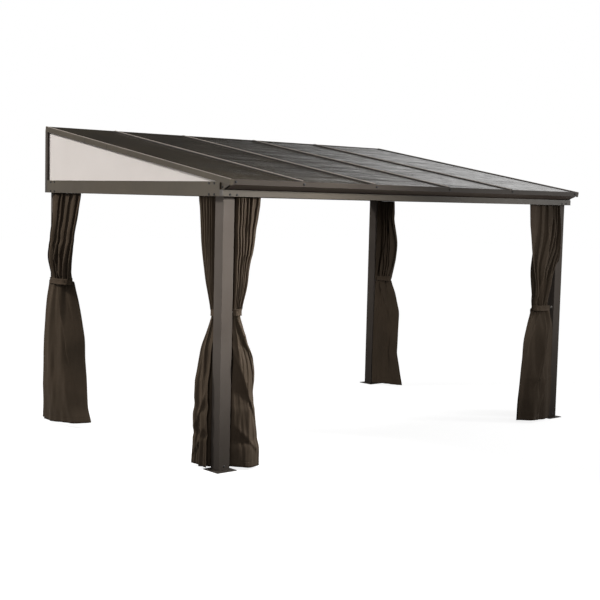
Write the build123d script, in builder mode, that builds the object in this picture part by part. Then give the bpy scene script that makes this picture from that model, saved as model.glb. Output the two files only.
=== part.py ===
from build123d import *
import os
from math import atan2, cos, sin, tan

# A mono-pitch garden gazebo: four square posts, a band of beams, a sloping roof of five glazed
# panels, pale gable panels and six tied curtains. Millimetres, +Z up, +X along the front, -Y front.
# The origin is on the ground, at the middle of the outline.

# Overall sizes
frame_length = 4150
frame_depth = 2650
clear_height = 2050
eave_overhang = 90
eave_rise = 120
ridge_rise = 585

# Posts and feet
post_width = 100
post_wall = 3
base_plate_width = 180
base_plate_thickness = 6
anchor_spacing = 140
anchor_radius = 5.5

# Beams
beam_thickness = 40
side_beam_height = 108
front_beam_height = 48
tube_wall = 2.5
end_cap_thickness = 3
side_beam_plug = 80

# Roof
panel_thickness = 8
panel_clearance = 0.3
rafter_width = 36
rafter_depth = 32
rafter_wall = 2
fin_width = 6
cap_width = 36
cap_height = 7
purlin_depth = 28
purlin_width = 30
trim_sheet = 3
rake_flange = 30
eave_flange = 22
eave_trim_depth = 38
soffit_foot = 9
soffit_inset = 2
seam_shares = (0.17, 0.355, 0.565, 0.765)
purlin_shares = {"purlin_lower": 0.27, "purlin_upper": 0.55}

# Ridge and infill
ridge_beam_height = 60
infill_thickness = 6

# Curtain rails
rail_width = 20
rail_height = 22
rail_wall = 2
rail_slot = 8

# Curtains and ties
hang_clearance = 0.3
hem_height = 15
curtain_reach = 480
curtain_girth = 130
tie_band = 50
tie_thickness = 3

# Shares of the hang from hem to tie, and from tie to rail, where a curtain's section is set
below_tie_shares = (0.0, 0.55, 0.85, 1.0)
above_tie_shares = (0.0, 0.25, 0.7, 1.0)
# Shares of the girth that a curtain is deep at those sections, and of its way in from the beam's face
below_depth_shares = (1.0, 0.85, 0.55, 0.35)
above_depth_shares = (0.35, 0.45, 0.45, 0.35)
# For each curtain, shares of the reach at those sections: where its far edge stands from the post
curtain_far_shares = {
    "curtain_front_left": ((0.85, 0.73, 0.49, 0.34), (0.34, 0.42, 0.54, 0.63)),
    "curtain_front_right": ((1.0, 0.93, 0.76, 0.64), (0.64, 0.72, 0.83, 0.94)),
    "curtain_left_front": ((0.48, 0.46, 0.38, 0.30), (0.30, 0.36, 0.46, 0.54)),
    "curtain_left_back": ((0.92, 0.82, 0.62, 0.50), (0.50, 0.58, 0.66, 0.70)),
    "curtain_right_front": ((0.56, 0.52, 0.40, 0.32), (0.32, 0.40, 0.50, 0.56)),
    "curtain_right_back": ((0.72, 0.60, 0.52, 0.42), (0.42, 0.54, 0.58, 0.46)),
}
# Shares of the reach where each curtain's near edge stands from the post, at its tie and elsewhere
curtain_near_share = 0.13
curtain_near_tie_shares = {
    "curtain_front_left": 0.14,
    "curtain_front_right": 0.27,
    "curtain_left_front": 0.14,
    "curtain_left_back": 0.16,
    "curtain_right_front": 0.14,
    "curtain_right_back": 0.16,
}

# Shares of the clear height where each curtain is tied
curtain_tie_shares = {
    "curtain_front_left": 0.575,
    "curtain_front_right": 0.525,
    "curtain_left_front": 0.57,
    "curtain_left_back": 0.605,
    "curtain_right_front": 0.56,
    "curtain_right_back": 0.58,
}

overrun = 10

os.makedirs("parts", exist_ok=True)

# Roof plane: a point is given by its way up the slope from the eave and its height over the panels
pitch = atan2(ridge_rise - eave_rise, frame_depth + eave_overhang)
outline_shift = (eave_overhang + trim_sheet * sin(pitch)) / 2
front_face = outline_shift - frame_depth / 2
back_face = outline_shift + frame_depth / 2
eave_y = front_face - eave_overhang
eave_z = clear_height + eave_rise
rafter_underside = -(panel_thickness + rafter_depth)
slope_length = (back_face - eave_y + rafter_underside * sin(pitch)) / cos(pitch)


def roof_point(along, over):
    y = eave_y + along * cos(pitch) - over * sin(pitch)
    z = eave_z + along * sin(pitch) + over * cos(pitch)
    return (y, z)


def underside_z(y):
    return eave_z + (y - eave_y) * tan(pitch) + rafter_underside / cos(pitch)


def save(piece, name):
    piece.part.label = name
    export_step(piece.part, f"parts/{name}.step")


def roof_outline(start, end, low, high):
    return [
        roof_point(start, low),
        roof_point(end, low),
        roof_point(end, high),
        roof_point(start, high),
    ]


def slab(x_start, x_end, outline, mode=Mode.ADD):
    # A prism along X between two places, with its outline in the YZ plane; used inside a part block
    with BuildSketch(Plane.YZ.offset(x_start)) as profile:
        with BuildLine():
            Polyline(*outline, close=True)
        make_face()
    extrude(profile.sketch, amount=x_end - x_start, mode=mode)


def block(x_span, y_span, z_span, mode=Mode.ADD):
    # A box between low and high places on each axis; used inside a part block
    with BuildSketch(Plane.XY.offset(z_span[0])) as profile:
        with Locations(((x_span[0] + x_span[1]) / 2, (y_span[0] + y_span[1]) / 2)):
            Rectangle(x_span[1] - x_span[0], y_span[1] - y_span[0])
    extrude(profile.sketch, amount=z_span[1] - z_span[0], mode=mode)


half_length = frame_length / 2
beam_inner_x = half_length - beam_thickness
post_x = beam_inner_x - post_width / 2
front_post_y = front_face + beam_thickness + post_width / 2
back_post_y = back_face - beam_thickness - post_width / 2
beam_top = clear_height + side_beam_height
side_beam_front = front_face + beam_thickness
upright_front = back_face - beam_thickness

corners = {
    "front_left": (-post_x, front_post_y),
    "front_right": (post_x, front_post_y),
    "back_left": (-post_x, back_post_y),
    "back_right": (post_x, back_post_y),
}

# Posts: square tubes, closed at the top, standing on the base plates
for corner, place in corners.items():
    with BuildPart() as post:
        with BuildSketch(Plane.XY.offset(base_plate_thickness)):
            with Locations(place):
                Rectangle(post_width, post_width)
        extrude(amount=beam_top - base_plate_thickness)
        with BuildSketch(Plane.XY.offset(base_plate_thickness)):
            with Locations(place):
                Rectangle(post_width - 2 * post_wall, post_width - 2 * post_wall)
        extrude(amount=beam_top - base_plate_thickness - post_wall, mode=Mode.SUBTRACT)
    save(post, f"post_{corner}")

# Base plates: square plates with four anchor holes each
with BuildPart() as base_plates:
    with BuildSketch():
        with Locations(*corners.values()):
            Rectangle(base_plate_width, base_plate_width)
        with Locations(*corners.values()):
            with GridLocations(anchor_spacing, anchor_spacing, 2, 2):
                Circle(anchor_radius, mode=Mode.SUBTRACT)
    extrude(amount=base_plate_thickness)
save(base_plates, "base_plates")

# Front beam: a shallow tube across the front, with a cap in each end
front_beam_half = half_length - end_cap_thickness
with BuildPart() as front_beam:
    block(
        (-front_beam_half, front_beam_half),
        (front_face, side_beam_front),
        (clear_height, clear_height + front_beam_height),
    )
    block(
        (-front_beam_half, front_beam_half),
        (front_face + tube_wall, side_beam_front - tube_wall),
        (clear_height + tube_wall, clear_height + front_beam_height - tube_wall),
        mode=Mode.SUBTRACT,
    )
save(front_beam, "front_beam")

with BuildPart() as front_beam_caps:
    for x_span in ((-half_length, -front_beam_half), (front_beam_half, half_length)):
        block(
            x_span,
            (front_face, side_beam_front),
            (clear_height, clear_height + front_beam_height),
        )
save(front_beam_caps, "front_beam_caps")

# Back beam: a tube between the two gable uprights
with BuildPart() as back_beam:
    block((-beam_inner_x, beam_inner_x), (upright_front, back_face), (clear_height, beam_top))
    block(
        (-beam_inner_x, beam_inner_x),
        (upright_front + tube_wall, back_face - tube_wall),
        (clear_height + tube_wall, beam_top - tube_wall),
        mode=Mode.SUBTRACT,
    )
save(back_beam, "back_beam")

# Pieces that stand at the left end and again, mirrored, at the right end
sides = {"left": (-half_length, -beam_inner_x), "right": (beam_inner_x, half_length)}
wedge = [
    (side_beam_front - overrun, underside_z(side_beam_front - overrun)),
    (upright_front, underside_z(upright_front)),
    (upright_front, underside_z(upright_front) + side_beam_height),
    (side_beam_front - overrun, underside_z(upright_front) + side_beam_height),
]
for side, x_span in sides.items():
    inner_span = (x_span[0] + tube_wall, x_span[1] - tube_wall)

    # Side beam: plugged at its front end, and cut to the roof's slope there
    with BuildPart() as side_beam:
        block(x_span, (side_beam_front, upright_front), (clear_height, beam_top))
        block(
            inner_span,
            (side_beam_front + side_beam_plug, upright_front),
            (clear_height + tube_wall, beam_top - tube_wall),
            mode=Mode.SUBTRACT,
        )
        slab(x_span[0], x_span[1], wedge, mode=Mode.SUBTRACT)
    save(side_beam, f"side_beam_{side}")

    # Gable upright: from the beams' underside to the end rafter, cut to the slope at its top
    with BuildPart() as gable_upright:
        slab(
            x_span[0],
            x_span[1],
            [
                (upright_front, clear_height),
                (back_face, clear_height),
                (back_face, underside_z(back_face)),
                (upright_front, underside_z(upright_front)),
            ],
        )
        block(
            inner_span,
            (upright_front + tube_wall, back_face - tube_wall),
            (clear_height + tube_wall, eave_z + ridge_rise),
            mode=Mode.SUBTRACT,
        )
    save(gable_upright, f"gable_upright_{side}")

    # Gable panel: the pale triangle over the side beam
    gable_middle = (x_span[0] + x_span[1]) / 2
    gable_tip = eave_y + (beam_top - eave_z - rafter_underside / cos(pitch)) / tan(pitch)
    with BuildPart() as gable_panel:
        slab(
            gable_middle - infill_thickness / 2,
            gable_middle + infill_thickness / 2,
            [
                (gable_tip, beam_top),
                (upright_front, beam_top),
                (upright_front, underside_z(upright_front)),
            ],
        )
    save(gable_panel, f"gable_panel_{side}")

# Ridge beam: under the high end of the rafters, between the gable uprights
ridge_beam_low = underside_z(upright_front) - ridge_beam_height
with BuildPart() as ridge_beam:
    slab(
        -beam_inner_x,
        beam_inner_x,
        [
            (upright_front, ridge_beam_low),
            (back_face, ridge_beam_low),
            (back_face, underside_z(back_face)),
            (upright_front, underside_z(upright_front)),
        ],
    )
    slab(
        -beam_inner_x,
        beam_inner_x,
        [
            (upright_front + tube_wall, ridge_beam_low + tube_wall),
            (back_face - tube_wall, ridge_beam_low + tube_wall),
            (back_face - tube_wall, underside_z(back_face - tube_wall) - tube_wall),
            (upright_front + tube_wall, underside_z(upright_front + tube_wall) - tube_wall),
        ],
        mode=Mode.SUBTRACT,
    )
save(ridge_beam, "ridge_beam")

# Seams between the roof panels, and the rafters that lie under them and along both rakes
seam_places = [-half_length + share * frame_length for share in seam_shares]
rake_inner = half_length - trim_sheet
end_rafter_x = rake_inner - rafter_width / 2
rafter_places = {"rafter_left_end": -end_rafter_x, "rafter_right_end": end_rafter_x}
for number, seam in enumerate(seam_places, start=1):
    rafter_places[f"rafter_{number}"] = seam

rafter_start = eave_flange
rafter_end = slope_length - eave_flange
for name, x in rafter_places.items():
    left = x - rafter_width / 2
    right = x + rafter_width / 2
    with BuildPart() as rafter:
        slab(left, right, roof_outline(rafter_start, rafter_end, rafter_underside, -panel_thickness))
        slab(
            left + rafter_wall,
            right - rafter_wall,
            roof_outline(
                rafter_start,
                rafter_end,
                rafter_underside + rafter_wall,
                -panel_thickness - rafter_wall,
            ),
            mode=Mode.SUBTRACT,
        )
        if x in seam_places:
            slab(
                x - fin_width / 2,
                x + fin_width / 2,
                roof_outline(rafter_start, rafter_end, -panel_thickness, 0),
            )
    save(rafter, name)

# Purlins: two rows of short tubes between the rafters, under the panels
rafter_lines = sorted(rafter_places.values())
for name, share in purlin_shares.items():
    middle = slope_length * share
    with BuildPart() as purlin:
        for left, right in zip(rafter_lines[:-1], rafter_lines[1:]):
            start = left + rafter_width / 2
            end = right - rafter_width / 2
            slab(
                start,
                end,
                roof_outline(
                    middle - purlin_width / 2,
                    middle + purlin_width / 2,
                    -panel_thickness - purlin_depth,
                    -panel_thickness,
                ),
            )
            slab(
                start,
                end,
                roof_outline(
                    middle - purlin_width / 2 + rafter_wall,
                    middle + purlin_width / 2 - rafter_wall,
                    -panel_thickness - purlin_depth + rafter_wall,
                    -panel_thickness - rafter_wall,
                ),
                mode=Mode.SUBTRACT,
            )
    save(purlin, name)

# Roof panels: five sheets lying on the rafters, between the fins and the rake trims
fin_edge = fin_width / 2 + panel_clearance
panel_lefts = [-rake_inner + panel_clearance] + [seam + fin_edge for seam in seam_places]
panel_rights = [seam - fin_edge for seam in seam_places] + [rake_inner - panel_clearance]
panel_start = trim_sheet + panel_clearance
panel_end = slope_length - trim_sheet - panel_clearance
for number, (left, right) in enumerate(zip(panel_lefts, panel_rights), start=1):
    with BuildPart() as roof_panel:
        slab(left, right, roof_outline(panel_start, panel_end, -panel_thickness, 0))
    save(roof_panel, f"roof_panel_{number}")

# Glazing caps: strips over the seams, from the eave trim to the ridge trim
with BuildPart() as glazing_caps:
    for seam in seam_places:
        slab(
            seam - cap_width / 2,
            seam + cap_width / 2,
            roof_outline(rafter_start, rafter_end, 0, cap_height),
        )
save(glazing_caps, "glazing_caps")

# Rake trims: folded sheet down each sloping edge, turned over the panel and closed at both ends
for side, sign in (("left", -1), ("right", 1)):
    flange_edge = half_length - rake_flange
    outer_span = sorted((sign * half_length, sign * rake_inner))
    flange_span = sorted((sign * rake_inner, sign * flange_edge))
    with BuildPart() as rake_trim:
        slab(*outer_span, roof_outline(0, slope_length, rafter_underside, trim_sheet))
        slab(*flange_span, roof_outline(0, slope_length, 0, trim_sheet))
        for end in (0, slope_length - trim_sheet):
            slab(*flange_span, roof_outline(end, end + trim_sheet, rafter_underside, 0))
    save(rake_trim, f"rake_trim_{side}")

# Eave trim and ridge trim: channels over the low and high ends of the panels, between the rake trims
trim_half = half_length - rake_flange
eave_bottom = trim_sheet - eave_trim_depth
for name, edge, direction in (("eave_trim", 0, 1), ("ridge_trim", slope_length, -1)):
    face_span = sorted((edge, edge + direction * trim_sheet))
    flange_reach = sorted((edge, edge + direction * eave_flange))
    with BuildPart() as edge_trim:
        slab(-trim_half, trim_half, roof_outline(*face_span, eave_bottom, trim_sheet))
        slab(-trim_half, trim_half, roof_outline(*flange_reach, 0, trim_sheet))
        slab(-trim_half, trim_half, roof_outline(*flange_reach, eave_bottom, eave_bottom + trim_sheet))
    save(edge_trim, name)

# Front soffit: a sloping sheet from the eave trim's underside back to the top of the front beam
soffit_top = clear_height + front_beam_height
with BuildPart() as front_soffit:
    slab(
        -beam_inner_x,
        beam_inner_x,
        [
            roof_point(0, eave_bottom),
            roof_point(soffit_foot, eave_bottom),
            (side_beam_front - soffit_inset, soffit_top),
            (side_beam_front - soffit_inset - soffit_foot, soffit_top),
        ],
    )
save(front_soffit, "front_soffit")

# Back wall over the back beam: mullions under the seam rafters and a pale panel in each bay
with BuildPart() as back_mullions:
    for seam in seam_places:
        block(
            (seam - rafter_width / 2, seam + rafter_width / 2),
            (upright_front, back_face),
            (beam_top, ridge_beam_low),
        )
        block(
            (seam - rafter_width / 2 + rafter_wall, seam + rafter_width / 2 - rafter_wall),
            (upright_front + rafter_wall, back_face - rafter_wall),
            (beam_top, ridge_beam_low),
            mode=Mode.SUBTRACT,
        )
save(back_mullions, "back_mullions")

infill_middle = (upright_front + back_face) / 2
bay_lefts = [-beam_inner_x] + [seam + rafter_width / 2 for seam in seam_places]
bay_rights = [seam - rafter_width / 2 for seam in seam_places] + [beam_inner_x]
with BuildPart() as back_panels:
    for left, right in zip(bay_lefts, bay_rights):
        block(
            (left, right),
            (infill_middle - infill_thickness / 2, infill_middle + infill_thickness / 2),
            (beam_top, ridge_beam_low),
        )
save(back_panels, "back_panels")

# Curtain rails: slotted channels against the inner faces of the front and side beams
rail_low = clear_height
rail_high = clear_height + rail_height


def rail_section(middle, plane, length):
    # A channel with a slot in its underside, along the plane's normal; used inside a part block
    with BuildSketch(plane) as profile:
        with Locations((middle, (rail_low + rail_high) / 2)):
            Rectangle(rail_width, rail_height)
            Rectangle(rail_width - 2 * rail_wall, rail_height - 2 * rail_wall, mode=Mode.SUBTRACT)
        with Locations((middle, rail_low + rail_wall / 2)):
            Rectangle(rail_slot, rail_wall, mode=Mode.SUBTRACT)
    extrude(profile.sketch, amount=length)


front_rail_y = side_beam_front + rail_width / 2
rail_x = beam_inner_x - rail_width / 2
inner_post_x = post_x - post_width / 2
front_post_back = front_post_y + post_width / 2
back_post_front = back_post_y - post_width / 2
with BuildPart() as curtain_rail_front:
    rail_section(front_rail_y, Plane.YZ.offset(-inner_post_x), 2 * inner_post_x)
save(curtain_rail_front, "curtain_rail_front")

rail_plane = Plane(origin=(0, front_post_back, 0), x_dir=(-1, 0, 0), z_dir=(0, 1, 0))
for side, sign in (("left", 1), ("right", -1)):
    with BuildPart() as curtain_rail:
        rail_section(sign * rail_x, rail_plane, back_post_front - front_post_back)
    save(curtain_rail, f"curtain_rail_{side}")

# Curtains: gathered under the rail, drawn in by a tie band and spreading again to the hem.
# Each stands beside one post: the post, the way into its bay, and the way in from the beam.
curtain_places = {
    "curtain_front_left": ("front_left", (1, 0), (0, 1)),
    "curtain_front_right": ("front_right", (-1, 0), (0, 1)),
    "curtain_left_front": ("front_left", (0, 1), (1, 0)),
    "curtain_left_back": ("back_left", (0, -1), (1, 0)),
    "curtain_right_front": ("front_right", (0, 1), (-1, 0)),
    "curtain_right_back": ("back_right", (0, -1), (-1, 0)),
}
curtain_top = rail_low - hang_clearance
tie_lows = {name: clear_height * share - tie_band / 2 for name, share in curtain_tie_shares.items()}
rail_from_post = beam_thickness + post_width / 2 - (beam_thickness + rail_width / 2)


def curtain_section(name, near, far, depth):
    # The middle of a curtain's section and its half sizes in X and Y
    corner, into_bay, inward = curtain_places[name]
    post_place = corners[corner]
    along = (near + far) / 2
    across = -rail_from_post * (1 - depth / curtain_girth)
    middle = tuple(post_place[i] + into_bay[i] * along + inward[i] * across for i in range(2))
    half_along = (far - near) / 2
    half_sizes = tuple(abs(into_bay[i]) * half_along + abs(inward[i]) * depth for i in range(2))
    return middle, half_sizes


def curtain_sections(name, heights, fars, nears, depths):
    # One ellipse at each height
    sections = []
    for height, far, near, depth in zip(heights, fars, nears, depths):
        middle, half_sizes = curtain_section(name, near, far, depth)
        with BuildSketch(Plane.XY.offset(height)) as section:
            with Locations(middle):
                Ellipse(*half_sizes)
        sections.append(section.sketch)
    return sections


def spread(shares, start, end):
    return [start + share * (end - start) for share in shares]


for name in curtain_places:
    below_fars, above_fars = [[curtain_reach * share for share in row] for row in curtain_far_shares[name]]
    near = curtain_reach * curtain_near_share
    near_tie = curtain_reach * curtain_near_tie_shares[name]
    below_nears = spread(below_tie_shares, near, near_tie)
    above_nears = spread(above_tie_shares, near_tie, near)
    below_depths = [curtain_girth * share for share in below_depth_shares]
    above_depths = [curtain_girth * share for share in above_depth_shares]
    below_heights = spread(below_tie_shares, hem_height, tie_lows[name])
    above_heights = spread(above_tie_shares, tie_lows[name] + tie_band, curtain_top)
    skirt = curtain_sections(name, below_heights, below_fars, below_nears, below_depths)
    bodice = curtain_sections(name, above_heights, above_fars, above_nears, above_depths)
    with BuildPart() as curtain:
        loft(skirt)
        extrude(skirt[-1], amount=tie_band)
        loft(bodice)
    save(curtain, name)

# Curtain ties: a band round each curtain's waist, with a strap to the face of its post
with BuildPart() as curtain_ties:
    for name, (corner, into_bay, inward) in curtain_places.items():
        near_tie = curtain_reach * curtain_near_tie_shares[name]
        far_tie = curtain_reach * curtain_far_shares[name][0][-1]
        middle, half_sizes = curtain_section(name, near_tie, far_tie, curtain_girth * below_depth_shares[-1])
        strap_start = post_width / 2
        strap_end = near_tie - hang_clearance
        strap_middle = (strap_start + strap_end) / 2
        strap_length = strap_end - strap_start
        along = [abs(step) for step in into_bay]
        across = [middle[i] * abs(inward[i]) for i in range(2)]
        strap_place = tuple(
            (corners[corner][i] + into_bay[i] * strap_middle) * along[i] + across[i] for i in range(2)
        )
        strap_sizes = tuple(along[i] * strap_length + abs(inward[i]) * tie_thickness for i in range(2))
        inner = [size + hang_clearance for size in half_sizes]
        with BuildSketch(Plane.XY.offset(tie_lows[name])):
            with Locations(middle):
                Ellipse(*[size + tie_thickness for size in inner])
            with Locations(strap_place):
                Rectangle(*strap_sizes)
            with Locations(middle):
                Ellipse(*inner, mode=Mode.SUBTRACT)
        extrude(amount=tie_band)
save(curtain_ties, "curtain_ties")
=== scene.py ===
from math import cos, pi, radians, sin

import bmesh
import bpy
import numpy as np
from mathutils import Matrix, Vector


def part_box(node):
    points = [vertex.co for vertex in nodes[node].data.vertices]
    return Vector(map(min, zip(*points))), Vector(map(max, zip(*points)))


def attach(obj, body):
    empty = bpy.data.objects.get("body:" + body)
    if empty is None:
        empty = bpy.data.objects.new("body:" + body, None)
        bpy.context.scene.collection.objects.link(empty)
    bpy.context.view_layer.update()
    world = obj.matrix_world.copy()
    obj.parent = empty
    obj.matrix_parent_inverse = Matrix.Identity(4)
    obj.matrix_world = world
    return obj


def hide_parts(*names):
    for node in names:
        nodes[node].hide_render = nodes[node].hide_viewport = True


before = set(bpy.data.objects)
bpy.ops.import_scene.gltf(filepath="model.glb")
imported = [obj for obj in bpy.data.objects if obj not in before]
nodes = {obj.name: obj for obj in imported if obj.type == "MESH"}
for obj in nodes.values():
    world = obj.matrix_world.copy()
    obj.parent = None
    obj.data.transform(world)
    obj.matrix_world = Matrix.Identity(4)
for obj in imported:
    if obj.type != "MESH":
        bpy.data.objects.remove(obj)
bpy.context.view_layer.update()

# A metal gazebo with a one-way roof and tied curtains. Lengths are in metres: x runs along the front,
# y from the front to the back and z upwards.

# Camera: angles in degrees, lens and sensor in millimetres
CAMERA_PLACE = (-7.2101, -8.1263, 2.03)
CAMERA_YAW = 40.756
CAMERA_PITCH = -4.833
CAMERA_ROLL = 1.4
CAMERA_LENS = 70.288
SENSOR = 36.0

# Sky: its light at the horizon and overhead, and the rises between which that changes
HORIZON_LEVEL = 0.15
ZENITH_LEVEL = 0.52
SKY_RISES = (-0.1, 0.9)

# Flag: a dark patch of sky that only glossy surfaces mirror. Pairs are where it fades: its top and foot as
# rises, its sides as bearings in degrees from the back. Its long right edge slants.
FLAG_STRENGTH = 0.97
FLAG_TOP = (0.55, 0.75)
FLAG_FOOT = (0.02, 0.08)
FLAG_LEFT = (-40, -20)
FLAG_RIGHT = (60, 75)
FLAG_SLANTED = (40, 48)
FLAG_SLANT = pi
FLAG_SLANT_RISE = 0.2

# Lamps: power in watts, size, place, what they face and how wide they spread in degrees
LAMPS = {
    "key": (39.0, 0.8, (0.6, -4.1, 3.4), (-2.1, -1.25, 1.1), 54.0),
    "fill": (2.3, 0.8, (-5.0, 1.0, 2.2), (-2.05, -1.1, 1.4), 50.0),
    "left": (1.8, 0.4, (-5.2, -3.0, 1.9), (-2.05, -1.0, 1.3), 34.0),
    "right": (8.5, 0.6, (4.4, -3.6, 2.6), (1.75, -1.2, 1.1), 70.0),
    "side": (106.0, 1.5, (-7.5, 6.5, 8.0), (-2.0, 0.0, 1.7), 50.0),
    "front": (3.5, 0.8, (-0.7, -6.4, 2.4), (1.85, 1.0, 0.9), 23.0),
}
# The roof would mirror this lamp as a bare white patch when seen from the right
UNMIRRORED_LAMP = "side"

# Floor: its colour and glow where it is seen, and the colour of the light that it throws up
FLOOR_SIZE = 80.0
FLOOR_DROP = 0.001
FLOOR_COLOUR = (0.36, 0.36, 0.36, 1.0)
FLOOR_ROUGHNESS = 0.9
FLOOR_GLOW = 0.85
BOUNCE_COLOUR = (0.11, 0.105, 0.10, 1.0)

WHITE = (1.0, 1.0, 1.0, 1.0)
# The part's sides: name, way out along x, and corner of a box that lies on that side
SIDES = (("left", -1, 0), ("right", 1, 1))


def linear(colour):
    """A colour written as 0 to 255, in linear light."""

    def one(value):
        share = value / 255
        return share / 12.92 if share <= 0.04045 else ((share + 0.055) / 1.055) ** 2.4

    return (*(one(value) for value in colour), 1.0)


# Materials

# Sockets of a mix node that mixes colours
MIX_FACTOR, MIX_FIRST, MIX_SECOND, MIX_RESULT = 0, 6, 7, 2
# Painted shade on a post, darker towards its foot: its shade at the foot, the height that it is spread over
# and where it ends in that
FOOT_SHADE = (0.42, 0.42, 0.42, 1.0)
FOOT_SHADE_HEIGHT = 2.0
FOOT_SHADE_END = 0.95
# How much the lighter grains of a moulded piece stand out
GRAIN_LIFT = 1.25
# Cloth: the weave's scale, the share of slubs in its colour, and its seams' width and heights
WEAVE_SCALE = 900.0
SLUB_SHARE = 0.3
SEAM_WIDTH = 0.004
HEM_SEAM = 0.045
HEADING_SEAM = 1.964


class Nodes:
    """The node tree of a material or a world, with short ways to add and join nodes."""

    def __init__(self, owner):
        owner.use_nodes = True
        self.owner = owner
        self.tree = owner.node_tree
        self.shader = self.tree.nodes.get("Principled BSDF")
        self.coords = self.add("ShaderNodeTexCoord").outputs

    def put(self, socket, value):
        """Sets a plain value on a socket, or joins another node's socket to it."""
        if isinstance(value, bpy.types.NodeSocket):
            self.tree.links.new(value, socket)
        else:
            socket.default_value = value

    def add(self, kind, inputs=None, **settings):
        """A new node with its settings, and what goes into its sockets."""
        node = self.tree.nodes.new(kind)
        for key, value in settings.items():
            setattr(node, key, value)
        for key, value in (inputs or {}).items():
            self.put(node.inputs[key], value)
        return node

    def set(self, **values):
        """What goes into the shader's own sockets."""
        for key, value in values.items():
            self.put(self.shader.inputs[key.replace("_", " ")], value)

    def axes(self, space):
        """The coordinates of a space, as sockets X, Y and Z."""
        return self.add("ShaderNodeSeparateXYZ", {"Vector": self.coords[space]}).outputs

    def noise(self, scale, detail=4.0, stretch=None, space="Object"):
        source = self.coords[space]
        if stretch:
            mapping = self.add("ShaderNodeMapping", {"Vector": source, "Scale": stretch})
            source = mapping.outputs["Vector"]
        inputs = {"Vector": source, "Scale": scale, "Detail": detail}
        return self.add("ShaderNodeTexNoise", inputs).outputs["Fac"]

    def wave(self, scale, direction, space="Object"):
        inputs = {"Vector": self.coords[space], "Scale": scale}
        return self.add("ShaderNodeTexWave", inputs, bands_direction=direction).outputs["Fac"]

    def ramp(self, factor, stops):
        """Colours between stops, each a place and a colour."""
        node = self.add("ShaderNodeValToRGB", {"Fac": factor})
        for element, (place, colour) in zip(node.color_ramp.elements, stops):
            element.position = place
            element.color = colour
        return node.outputs["Color"]

    def span(self, factor, low, high, limits=(0.0, 1.0), interpolation="LINEAR"):
        """A value that goes from low to high while the factor goes between its limits."""
        inputs = {"Value": factor, "To Min": low, "To Max": high}
        inputs["From Min"], inputs["From Max"] = limits
        node = self.add("ShaderNodeMapRange", inputs, interpolation_type=interpolation)
        return node.outputs["Result"]

    def math(self, operation, *values):
        """One sum, on numbers and on other nodes' sockets."""
        inputs = dict(enumerate(values))
        return self.add("ShaderNodeMath", inputs, operation=operation).outputs["Value"]

    def bump(self, height, strength, distance, before=None):
        inputs = {"Height": height, "Strength": strength, "Distance": distance}
        if before:
            inputs["Normal"] = before
        return self.add("ShaderNodeBump", inputs).outputs["Normal"]


def material_nodes(name):
    return Nodes(bpy.data.materials.new(name))


def powder_coat(name, dark, light, roughness, gloss=0.22, foot=None):
    """Satin powder coat: a fine pebbled skin and faint clouding; a post gets painted shade that darkens it
    towards its foot.
    """
    n = material_nodes(name)
    cloud = n.noise(scale=2.3, detail=6.0)
    colour = n.ramp(cloud, [(0.3, linear(dark)), (0.7, linear(light))])
    # Painted shade: the colour of a post is darkened towards its foot
    if foot:
        rise = n.math("DIVIDE", n.axes("Object")["Z"], FOOT_SHADE_HEIGHT)
        foot_shade = n.ramp(rise, [(0.0, foot), (FOOT_SHADE_END, WHITE)])
        inputs = {MIX_FACTOR: 1.0, MIX_FIRST: colour, MIX_SECOND: foot_shade}
        painted_shade = n.add("ShaderNodeMix", inputs, data_type="RGBA", blend_type="MULTIPLY")
        colour = painted_shade.outputs[MIX_RESULT]
    pebble = n.noise(scale=900.0, detail=2.0)
    wear = n.noise(scale=14.0, detail=5.0)
    n.set(
        Base_Color=colour,
        Normal=n.bump(pebble, strength=0.12, distance=0.0006),
        Roughness=n.span(wear, low=roughness - 0.06, high=roughness + 0.08),
        Specular_IOR_Level=gloss,
    )
    return n.owner


def bronze_sheet():
    """Bronze twin-wall sheet: ribs down the slope, and a glossy skin that ripples and mottles."""
    n = material_nodes("bronze_sheet")
    streak = n.noise(scale=2.6, detail=6.0, stretch=(1.0, 0.8, 0.8))
    ribs = n.bump(n.wave(scale=28.0, direction="X"), strength=0.04, distance=0.0008)
    ripple = n.noise(scale=3.4, detail=5.0, stretch=(0.4, 1.0, 1.0))
    n.set(
        Base_Color=n.ramp(streak, [(0.3, linear((48, 41, 30))), (0.7, linear((68, 59, 45)))]),
        Normal=n.bump(ripple, strength=0.6, distance=0.010, before=ribs),
        Roughness=n.span(n.noise(scale=9.0), low=0.10, high=0.24),
        Transmission_Weight=0.2,
        IOR=1.5,
    )
    return n.owner


def opal_sheet():
    """Pale opal twin-wall sheet: upright ribs and a soft, slightly uneven white."""
    n = material_nodes("opal_sheet")
    cloud = n.noise(scale=1.6)
    ribs = n.wave(scale=30.0, direction="Y")
    n.set(
        Base_Color=n.ramp(cloud, [(0.25, linear((205, 197, 191))), (0.75, linear((214, 206, 200)))]),
        Normal=n.bump(ribs, strength=0.15, distance=0.0008),
        Roughness=n.span(n.noise(scale=11.0), low=0.38, high=0.55),
    )
    return n.owner


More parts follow.
